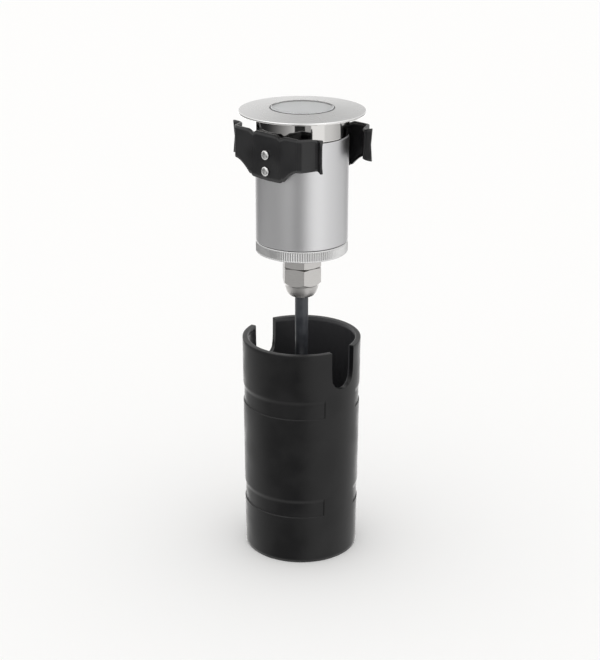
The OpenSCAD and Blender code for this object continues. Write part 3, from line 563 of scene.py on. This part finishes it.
def hexed(r, angle, z):
    """Limits a radius to a hexagon: half the width over the cosine of the angle from the nearest flat,
    and to the corner radius, with a smooth step between the two so that the corners are soft. The
    angles start at the x axis, and a corner lies at HEX_TURN."""
    off = (angle - math.radians(HEX_TURN)) % (math.pi / 3) - math.pi / 6
    side = HEX_FLAT / np.cos(off)
    step = np.clip(HEX_SOFT - np.abs(side - HEX_CORNER), 0, HEX_SOFT) ** 2 / (4 * HEX_SOFT)
    return np.minimum(r, np.minimum(side, HEX_CORNER) - step)


def make_gland():
    """The gland's body and nut: turned outlines cut to a hexagon, so that each chamfer and the dome
    meet the flats in the curved lines of a real nut. The dome widens and rises by two powers of the
    step, and above it a chamfer reaches out to the corners."""
    body = [(4.4, -72.8), (7.7, -72.8), (7.9, -73.0), (7.9, CAP_FOOT)]
    body += [(r, CAP_FOOT) for r in np.linspace(8.4, 11.0, 6)]
    body += [(11.0 + 0.8 * t, CAP_FOOT - 0.4 * t) for t in np.linspace(0.2, 1, 5)]
    body += [(HEX_EDGE_R, z) for z in np.linspace(-79.4, -87.1, 8)]
    body += [(HEX_EDGE_R - 1.6 * t, -87.2 - 0.6 * t) for t in np.linspace(0, 1, 9)]
    body += [(9.0, BODY_FOOT), (7.5, BODY_FOOT), (7.45, -96.6), (6.2, -96.6), (6.2, -92.1), (4.4, -92.1)]
    piece = lathe("gland_hexagon", np.array(body), 360, hexed)
    stand_in(piece, "luminaire", "gland_body", "nickel_brass")
    nut = [(7.6, NUT_TOP)] + [(r, NUT_TOP) for r in np.linspace(8.5, 10.2, 4)]
    nut += [(10.2 + 1.6 * t, NUT_TOP - 0.5 * t) for t in np.linspace(0.12, 1, 8)]
    nut += [(HEX_EDGE_R, z) for z in np.linspace(-88.7, -96.4, 12)]
    nut += [(9.9 + 1.9 * t, NUT_SHOULDER + 2.0 * t) for t in np.linspace(1, 0.03, 16)]
    nut += [(MOUTH_R + 4.7 * t ** 0.9, NUT_FOOT + 7.0 * t ** 3) for t in np.linspace(0.995, 0.08, 28)]
    nut += [(5.0, NUT_FOOT), (4.5, -105.55), (4.32, -105.3), (4.3, -100.2), (4.4, -100.1), (6.2, -98.1),
            (6.2, -96.65), (7.6, -96.65)]
    piece = lathe("gland_dome_nut", np.array(nut), 360, hexed)
    stand_in(piece, "luminaire", "gland_nut", "nickel_brass")


# Spring clips
CLIP_T, CLIP_SOFT, STRIP_R = 1.6, 0.45, 26.7
FLEX_S, LOBE_S, PLATE_FOOT, WING_TOP, WING_FOOT = 10.4, 12.0, -33.1, -7.2, -25.1
BEND, CREASE, LIP, BEND_R = (24.8, 0.0), (29.6, 9.3), (34.0, 7.1), 2.4
NOTCH_H, NOTCH_OUT, NOTCH_IN = 1.3, 4.2, 2.6
PINCH, PINCH_S, FLARE, HOLLOW = 0.5, 2.2, 0.2, 1.1
SCREW_R, SCREW_H, SCREW_FOOT, SCREW_PITCH, SHANK_R, SHANK_L = 2.7, 1.8, -28.4, 9.0, 1.5, 3.6
SCREW_TURN, ARM_HALF, ARM_L, ARM_SOFT = 0.35, 0.62, 1.85, 0.2


def arc(before, corner, after, radius, count):
    """An arc that touches both sides of a corner."""
    before, corner, after = (np.array(p, float) for p in (before, corner, after))
    u, w = unit(before - corner), unit(after - corner)
    half = math.acos(float(u @ w)) / 2
    reach = radius / math.tan(half)
    middle = corner + unit(u + w) * radius / math.sin(half)
    return swing(corner + u * reach, corner + w * reach, middle, radius, count)


def clip_line():
    """The strip's middle line as (s, inward): straight to the outer bend, along the flap to the
    crease, round it and out to the lip's end."""
    first = arc((FLEX_S, 0), BEND, CREASE, BEND_R, 12)
    second = arc(BEND, CREASE, LIP, BEND_R, 14)
    flap = first[-1] + (second[0] - first[-1]) * np.linspace(0, 1, 10)[1:-1, None]
    lip = second[-1] + (np.array(LIP) - second[-1]) * np.linspace(0, 1, 8)[1:, None]
    return np.vstack([first, flap, second, lip]), first[0][0]


def lip_share(s):
    """0 up to the crease and 1 at the lip's end."""
    return np.clip((s - CREASE[0]) / (LIP[0] - CREASE[0]), 0, 1)


def clip_limits(s):
    """Top and foot of the strip at s: a rounded notch beside the plate, the lobe below the screws, the
    cove that rises from it along a sine to the wing's foot, and the waist at the crease."""
    a = np.abs(s)
    offset = a - FLEX_S
    reach = np.clip(offset / np.where(offset > 0, NOTCH_OUT, NOTCH_IN), -1, 1)
    top = WING_TOP - 0.1 * (a < FLEX_S) - NOTCH_H * (0.5 + 0.5 * np.cos(math.pi * reach))
    rise = np.sin(np.clip((a - LOBE_S) / (BEND[0] - LOBE_S), 0, 1) * math.pi / 2)
    foot = PLATE_FOOT + (WING_FOOT - PLATE_FOOT) * rise - 0.5 * np.clip(1 - (a / LOBE_S) ** 2, 0, 1)
    foot += 1.3 * np.clip((a - 10.2) / 1.8, 0, 1) ** 2 * np.clip((13.4 - a) / 1.4, 0, 1) ** 2
    waist = PINCH * np.exp(-((a - CREASE[0]) / PINCH_S) ** 2) - FLARE * lip_share(a) ** 2
    return top - waist, foot + waist


def clip_space(turn, out, along, z):
    """Points of a clip: out from the axis and along the strip, by the sine and cosine of its turn."""
    phi = math.radians(turn)
    x = math.sin(phi) * out + math.cos(phi) * along
    y = -math.cos(phi) * out + math.sin(phi) * along
    return np.stack([x, y, z + HEAD_Z], 2)


def strip(name, stations, turn, sign, hollow=0.0):
    """A solid strip along (s, inward) stations. Its section is a rectangle with round edges, set
    square to the line; at the lip's end the middle of the edge is drawn back by hollow."""
    line = np.array(stations, float)
    ahead = np.gradient(line, axis=0)
    ahead /= np.linalg.norm(ahead, axis=1)[:, None]
    square = np.stack([-ahead[:, 1], ahead[:, 0]], 1)
    top, foot = clip_limits(line[:, 0])
    rows, half, soft = 14, CLIP_T / 2, CLIP_SOFT
    turns = np.linspace(0, math.pi / 2, 5)
    sines, cosines, face = soft * np.sin(turns), soft * np.cos(turns), np.ones(rows)
    climb, corner = np.linspace(0, 1, rows), np.ones(2 * len(turns))
    across = np.concatenate([half * face, half - soft + cosines, -half + soft - sines,
                             -half * face, -half + soft - cosines, half - soft + sines])
    up = np.concatenate([climb, corner, climb[::-1], 0 * corner])
    lift = np.concatenate([0 * face, sines, cosines, 0 * face, -sines, -cosines])
    z = (foot + soft)[:, None] + (top - foot - 2 * soft)[:, None] * up + lift
    s, inward = line[:, :1] + square[:, :1] * across, line[:, 1:] + square[:, 1:] * across
    back = hollow * lip_share(line[:, :1]) ** 1.5 * (1 - (2 * up - 1) ** 4)
    s, inward = s - back * ahead[:, :1], inward - back * ahead[:, 1:]
    s, inward, z = (np.concatenate([x[:1] * 0 + x[:1].mean(), x, x[-1:] * 0 + x[-1:].mean()])
                    for x in (s, inward, z))
    return grid_object(name, clip_space(turn, STRIP_R - inward, sign * s, z), wrap_columns=True)


def screw_heads(name, turn):
    """Two pan heads with a cross recess, and their shanks. The head's height falls from the middle as
    the root of one less the fourth power of the share of its radius. The recess is a smooth cross:
    within it, the height drops by a depth that lessens towards the ends of its arms."""
    edge = 0.86 + 0.14 * np.sin(np.linspace(0, math.pi / 2, 9)[1:])
    share = np.concatenate([np.linspace(0.002, 0.86, 30), edge])[:, None]
    angle = np.linspace(0, 2 * math.pi, 96, endpoint=False) + SCREW_TURN
    u, v = SCREW_R * share * np.cos(angle), SCREW_R * share * np.sin(angle)
    narrow, wide = np.minimum(np.abs(u), np.abs(v)), np.maximum(np.abs(u), np.abs(v))
    arm = np.clip((ARM_HALF - narrow) / ARM_SOFT, 0, 1) * np.clip((ARM_L - wide) / ARM_SOFT, 0, 1)
    height = SCREW_H * (0.38 + 0.62 * np.sqrt(np.clip(1 - share ** 4, 0, 1))) - arm * (1.3 - 0.25 * wide)
    back = np.array([(SCREW_R, 0.0), (SCREW_R - 0.05, 0.0), (SHANK_R, 0.0), (SHANK_R, -SHANK_L),
                     (0.005, -SHANK_L)])
    u, v = np.vstack([u, back[:, :1] * np.cos(angle)]), np.vstack([v, back[:, :1] * np.sin(angle)])
    height = np.vstack([height, back[:, 1:] + 0 * angle])
    parts = [clip_space(turn, STRIP_R + CLIP_T / 2 + height, u, z + v).reshape(-1, 3)
             for z in (SCREW_FOOT, SCREW_FOOT + SCREW_PITCH)]
    quads = grid_quads(*u.shape, False, True)
    return mesh_object(name, np.concatenate(parts), np.concatenate([quads, quads + u.size]))


def make_clips():
    """Two clips: a plate on the head, and a wing and a folded tip on each side of it. The wing stays where
    it is built, and the tip is attached to the body of its wing."""
    line, wing_end = clip_line()
    plate_line = [(s, 0) for s in np.linspace(-FLEX_S, FLEX_S, 81)]
    wing_line = [(s, 0) for s in np.linspace(FLEX_S, wing_end, 61)]
    for where, turn in (("front", -45), ("rear", 135)):
        stand_in(strip(where + "_plate_strip", plate_line, turn, 1), "luminaire",
                 where + "_clip_plate", "coated_spring")
        stand_in(screw_heads(where + "_pan_screws", turn), "luminaire",
                 where + "_clip_screws", "screw_steel")
        for side, sign in (("left", -1), ("right", 1)):
            body = "%s_%s_wing_body" % (where, side)

            wing = strip("%s_%s_wing_strip" % (where, side), wing_line, turn, sign)
            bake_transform(wing)
            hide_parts("%s_%s_wing" % (where, side))
            dress(wing, MATERIALS["coated_spring"])
            tip = strip("%s_%s_tip_strip" % (where, side), line, turn, sign, HOLLOW)
            stand_in(tip, body, "%s_%s_tip" % (where, side), "coated_spring")
            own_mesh(tip)


# Mounting sleeve
SLEEVE_H, FOOT_R, FOOT_BORE_R, TAPER, BORE_TAPER, EDGE_SOFT = 130.0, 33.0, 30.0, 1.0, 0.8, 0.5
SLOT_TURNS, SLOT_HALF, SLOT_H, SLOT_FAN, SLOT_CORNER = (45.0, 225.0), 8.7, 23.4, 9.0, 0.6
FAN_BASE, FAN_R, RIM_R, RIM_SOFT = 103.6, 33.5, 33.9, 0.35
BAND_FEET, BAND_H, BAND_SLOPE, BAND_STEP, BAND_DEPTH, BAND_HALF = (29.0, 90.8), 11.9, 3.4, 0.25, 0.55, 68.5


def band_mask(turn, z):
    """1 inside the shallow bands and 0 on the plain wall: a crisp lower edge, a slope at the top, and
    short steps at the sides, on two arcs of 137 degrees. A smooth step is 3t^2 - 2t^3."""
    off = np.abs((turn + 45.0 + 90.0) % 180.0 - 90.0)
    side = np.clip((BAND_HALF - off) / 0.45 + 0.5, 0, 1)
    level = 0
    for foot in BAND_FEET:
        slope = np.clip((foot + BAND_H - z) / BAND_SLOPE, 0, 1)
        level = level + np.clip((z - foot) / BAND_STEP, 0, 1) * slope * slope * (3 - 2 * slope)
    return side * side * (3 - 2 * side) * level


def rim_path():
    """Points along the rim as (turn, z, turn below): level round the wall and down, round and up each
    slot. Below the slots the columns are spread to either side, so that they never cross."""
    half, centre = SLOT_HALF, SLEEVE_H - SLOT_H + SLOT_HALF
    width = math.degrees(half / RIM_R)
    fan, path = width + SLOT_FAN, []
    for slot in SLOT_TURNS:
        shore, bank = slot - fan, slot - width - SLOT_CORNER
        path += [(t, SLEEVE_H, t) for t in np.linspace(slot - 180 + fan, shore, 150)]
        path += [(t, SLEEVE_H, t * 0.55 + shore * 0.45) for t in np.linspace(shore, bank, 14)[1:]]
        low = bank * 0.55 + shore * 0.45
        for t in np.linspace(0, 1, 5)[1:]:
            a = t * math.pi / 2
            drop = RIM_SOFT * (1 - math.cos(a))
            path.append((bank + SLOT_CORNER * math.sin(a), SLEEVE_H - drop, low + 0.1 * t))
        low, round_low = low + 0.1, slot - 0.72 * width
        path += [(slot - width, z, low + (round_low - low) * (k + 1) / 17)
                 for k, z in enumerate(np.linspace(SLEEVE_H - RIM_SOFT, centre, 18)[1:])]
        for degrees in np.linspace(-90, 90, 37)[1:-1]:
            a = math.radians(degrees)
            path.append((slot + width * math.sin(a), centre - half * math.cos(a),
                         slot + 0.72 * width * degrees / 90))
        path += [(2 * slot - t, z, 2 * slot - b) for t, z, b in path if shore < t <= slot - width][::-1]
    return np.array(path)


def make_sleeve():
    """The sleeve: up the outer wall to the rim path, over its rounded edge, and down the inner wall.
    The outer radius grows from foot to rim, less the bands' depth where the mask says."""
    turn, top, low = rim_path().T
    arcs = np.linspace(0, math.pi / 2, 6)
    heights = [[0.5, 2, 8, 15, 22, 27, 28.6], np.linspace(28.9, 29.4, 6), [30.5, 33, 36],
               np.linspace(37.2, 41.2, 12), [42, 48, 56, 64, 72, 80, 86, 90, 90.5],
               np.linspace(90.7, 91.2, 6), [92.5, 95, 98], np.linspace(99, 103, 12), [FAN_BASE]]

    def outer(t, z):
        return FOOT_R + TAPER * z / SLEEVE_H - BAND_DEPTH * band_mask(t, z)

    def inner(t, z):
        return FOOT_BORE_R + BORE_TAPER * z / SLEEVE_H

    def level_row(height, radius, inset=0.0):
        """A row at one height, on the columns below the fan."""
        z = low * 0 + height
        return low, z, radius(low, z) - inset

    def fan_row(share, radius, inset=0.0):
        """A row at a share of the way from the fan's base to the rim path."""
        t, z = low + (turn - low) * share, FAN_BASE + (top - FAN_BASE) * share
        return t, z, radius(t, z) - inset

    edge = EDGE_SOFT / np.hypot((turn - low) * math.pi / 180 * FAN_R, top - FAN_BASE)
    steps = np.linspace(0, 1, 14)[1:]
    bevels = [(1 - math.sin(a), EDGE_SOFT * (1 - math.cos(a))) for a in arcs]
    rows = [(low, low * 0 + EDGE_SOFT * back, outer(low, low * 0) - inset) for back, inset in bevels[::-1]]
    rows += [level_row(height, outer) for height in np.concatenate(heights)]
    rows += [fan_row(step * (1 - edge), outer) for step in steps]
    rows += [fan_row(1 - edge * back, outer, inset) for back, inset in bevels[1:]]
    rows += [fan_row(1 - edge * back, inner, -inset) for back, inset in bevels[::-1]]
    rows += [fan_row((step - steps[0]) / (1 - steps[0]) * (1 - edge), inner) for step in steps[::-1]]
    rows += [level_row(height, inner) for height in (90, 70, 50, 30, 10, 1, 0)]
    t, z, r = np.array(rows).transpose(1, 0, 2)
    points = np.stack([r * np.sin(np.radians(t)), -r * np.cos(np.radians(t)), z], 2)
    stand_in(grid_object("ground_sleeve", points, wrap_rows=True, wrap_columns=True), "sleeve", "sleeve",
             "black_plastic")


make_head()
make_cap()
make_gland()
make_clips()
make_sleeve()


# CAD nodes that are shown as they are
SLOT_OF = {part["node"]: part["material_slot"] for part in frame["record"]["subparts"]}
for name, node in frame["nodes"].items():
    if not node.hide_render:
        dress(node, MATERIALS[SLOT_OF[name]])


# Floor and light
FLOOR_HALF_M, FLOOR_LEVEL, LIGHT_LEVEL, LIGHT_COLOUR = 8.0, 0.952, 1.04, (1.0, 0.995, 0.985)
GLOOM, GROUND_FAR, OVERHEAD = 0.03, 1.35, 1.5


def make_floor():
    """A pale floor. Glossy rays pass through it, so that the metal mirrors the surroundings."""
    corners = np.array([(-1, -1, 0), (1, -1, 0), (1, 1, 0), (-1, 1, 0)]) * FLOOR_HALF_M / MM
    floor = mesh_object("floor", corners, np.array([[0, 1, 2, 3]]))
    made, p = blank("floor")
    glossy = p.value("ShaderNodeLightPath", output="Is Glossy Ray")
    solid = p.value("ShaderNodeBsdfDiffuse", sockets={"Color": (*grey(FLOOR_LEVEL), 1.0)})
    clear = p.value("ShaderNodeBsdfTransparent")
    both = p.value("ShaderNodeMixShader", sockets={0: glossy, 1: solid, 2: clear})
    p.add("ShaderNodeOutputMaterial", sockets={0: both})
    floor.data.materials.append(made)


def studio(p):
    """What glossy rays see, by their turn and by z, the sine of their height. Round the room, the left
    side brightens forwards up to a sharp edge at -18 degrees, then comes the dark gap where the camera
    stands, then the right side climbs in two steps and dims past 50 degrees, and the back is bright.
    A band of z, which the polished collar mirrors, has its own levels: on the left the square of the
    turn past -105 degrees, on the right two crisp steps. Lower down lies the ground, bright on the left
    and dimmest ahead, and far down it is evenly lit. Above the horizon lies the sky, a little lighter
    to either side, with a lit panel overhead."""
    x, y, z = p.axes("Generated")
    turn = x.math("ARCTAN2", -y) * (180 / math.pi)
    band = z.ramp(-0.3, -0.26) * (1.0 - z.ramp(-0.17, -0.13))
    back = turn.steps(2.0, (-172, -135, -2.0), (135, 172, 2.0))
    left = turn.ramp(-66, -36, 0.4, 0.98) * turn.ramp(-150, -120)
    left_band = ((turn + 105.0) * (1 / 85)).math("MAXIMUM", 0.0).math("POWER", 2.0) * 0.65
    left = (left * (1.0 - band) + left_band * band) * turn.ramp(-19, -17.5, 1, 0)
    right = turn.steps(0.0, (-8, 2, 0.75), (4, 16, 1.35), (50, 62, -0.35))
    right_band = turn.steps(0.0, (6, 8, 0.42), (20, 23, 0.73))
    right = right * (1.0 - band) + right_band * band
    right = (right + turn.steps(0.0, (53, 59, -0.25), (60, 115, -0.35))) * (1.0 - turn.ramp(122, 150))
    ground = turn.steps(1.1, (-110, -45, -0.77), (-10, 35, 0.65))
    low, far = z.ramp(-0.42, -0.3, 1, 0), z.ramp(-0.85, -0.65, 1, 0)
    room = (left + right) * (1.0 - low) + ground * low + back + GLOOM
    room = room * (1.0 - far) + far * GROUND_FAR
    middle, above = z.ramp(0.05, 0.35, 0.86, 0.66), z.ramp(-0.12, 0.15)
    sides = (-x).ramp(0.0, 0.17) * (1.38 - middle) + x.ramp(0.03, 0.2) * (1.22 - middle)
    return room * (1.0 - above) + (middle + sides) * above + z.ramp(0.65, 0.9, 0, OVERHEAD)


def make_world():
    """The studio for glossy rays, and one even light for everything else."""
    world = bpy.data.worlds.new("studio")
    bpy.context.scene.world = world
    world.use_nodes = True
    p = Paint(world.node_tree)
    glossy = p.value("ShaderNodeLightPath", output="Is Glossy Ray")
    strength = glossy * studio(p) + (1.0 - glossy) * LIGHT_LEVEL
    light = p.value("ShaderNodeBackground", sockets={"Color": (*LIGHT_COLOUR, 1.0), "Strength": strength})
    p.add("ShaderNodeOutputWorld", sockets={0: light})


make_floor()
make_world()
bpy.context.scene.view_settings.view_transform = "Standard"

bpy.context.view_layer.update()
import json
